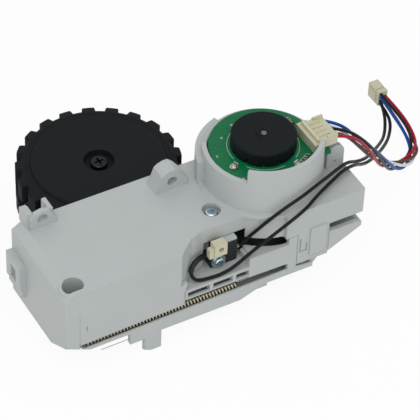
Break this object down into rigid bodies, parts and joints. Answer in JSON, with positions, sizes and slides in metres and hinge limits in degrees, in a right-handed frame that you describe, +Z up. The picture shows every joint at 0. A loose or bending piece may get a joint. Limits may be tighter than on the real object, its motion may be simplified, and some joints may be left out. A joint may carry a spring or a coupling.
{
  "type": "robot vacuum wheel module",
  "caption": "Sprung drive wheel of a robot vacuum on a geared swing arm, with its motor, wheel encoder, drop switch and wire harness in a two-part housing",
  "frame": {"origin": "On the floor under the wheel axle, with the arm in its dropped position; the underside of the gear case is Z 0", "axes": "+X along the housing towards the motor, +Y towards the side where the wheel stands out, +Z up along the wheel axle, as the module lies in the picture"},
  "size_m": [0.1975, 0.1016, 0.0662],
  "materials": {
    "housing_abs": "light grey moulded ABS, fine satin texture",
    "tyre_rubber": "black tread rubber",
    "wheel_abs": "black moulded ABS, satin",
    "arm_abs": "black moulded plastic",
    "steel": "ground steel",
    "motor_steel": "plated steel can",
    "zinc": "bright zinc plated",
    "black_screw": "black oxide",
    "brass": "bare brass",
    "solder_tin": "tinned and soldered",
    "gear_pom": "natural white acetal",
    "motor_cap_plastic": "black plastic",
    "board_green": "green solder mask",
    "sensor_black": "black plastic",
    "chip_ceramic": "dark ceramic with tinned ends",
    "connector_nylon": "cream nylon",
    "switch_black": "black plastic",
    "switch_plunger_red": "red plastic",
    "spring_steel": "bright spring wire with a yellow cast",
    "wire_black": "black insulation",
    "wire_blue": "blue insulation",
    "wire_white": "white insulation",
    "wire_brown": "brown insulation",
    "wire_red": "red insulation"
  },
  "bodies": {
    "housing": {"base_shell": "housing_abs", "board_header": "connector_nylon", "board_plug": "connector_nylon", "chip_parts": "chip_ceramic", "encoder_board": "board_green", "harness_plug": "connector_nylon", "heat_shrink": "wire_black", "housing_screws": "zinc", "light_gates": "sensor_black", "motor_can": "motor_steel", "motor_end_cap": "motor_cap_plastic", "motor_screws": "zinc", "motor_terminals": "solder_tin", "switch_body": "switch_black", "switch_connector": "connector_nylon", "switch_lead_lower": "wire_black", "switch_lead_upper": "wire_black", "switch_screw": "zinc", "switch_terminals": "brass", "tension_spring": "spring_steel", "top_cover": "housing_abs", "wire_black": "wire_black", "wire_blue": "wire_blue", "wire_brown": "wire_brown", "wire_red": "wire_red", "wire_white": "wire_white"},
    "arm": {"arm_case_lower": "arm_abs", "arm_case_upper": "arm_abs", "arm_hub_ring": "arm_abs", "gear_case_screws": "zinc", "hub_ring_screws": "zinc", "gear_pins": "steel", "axle_bush": "brass"},
    "wheel": {"output_gear": "gear_pom", "axle": "steel", "wheel_hub": "wheel_abs", "tyre": "tyre_rubber", "wheel_screw": "black_screw"},
    "rotor": {"motor_shaft": "steel", "motor_pinion": "brass", "encoder_drum": "wheel_abs"},
    "first_gear": {"gear_first": "gear_pom"},
    "second_gear": {"gear_second": "gear_pom"},
    "third_gear": {"gear_third": "gear_pom"},
    "plunger": {"switch_plunger": "switch_plunger_red"}
  },
  "joints": [
    {"name": "arm_swing", "type": "hinge", "parent": "housing", "child": "arm", "pos_m": [0.05083, -0.03922, 0.02], "axis": [0, 0, 1], "range_deg": [0, 20], "deforming": ["tension_spring"]},
    {"name": "wheel_spin", "type": "hinge", "parent": "arm", "child": "wheel", "pos_m": [0, 0, 0.03], "axis": [0, 0, 1], "continuous": true},
    {"name": "rotor_spin", "type": "hinge", "parent": "arm", "child": "rotor", "pos_m": [0.05083, -0.03922, 0.04], "axis": [0, 0, 1], "continuous": true},
    {"name": "first_gear_spin", "type": "hinge", "parent": "arm", "child": "first_gear", "pos_m": [0.03848, -0.02969, 0], "axis": [0, 0, 1], "continuous": true},
    {"name": "second_gear_spin", "type": "hinge", "parent": "arm", "child": "second_gear", "pos_m": [0.02589, -0.01997, 0], "axis": [0, 0, 1], "continuous": true},
    {"name": "third_gear_spin", "type": "hinge", "parent": "arm", "child": "third_gear", "pos_m": [0.0133, -0.01026, 0], "axis": [0, 0, 1], "continuous": true},
    {"name": "plunger_slide", "type": "slide", "parent": "housing", "child": "plunger", "axis": [-1, 0, 0], "range_m": [0, 0.0009]}
  ],
  "couplings": [
    {"joint": "third_gear_spin", "follows": "wheel_spin", "ratio": -3},
    {"joint": "second_gear_spin", "follows": "wheel_spin", "ratio": 8.3571},
    {"joint": "first_gear_spin", "follows": "wheel_spin", "ratio": -23.281},
    {"joint": "rotor_spin", "follows": "wheel_spin", "ratio": 77.602},
    {"joint": "plunger_slide", "follows": "arm_swing", "m_per_rad": 0.0025783}
  ]
}
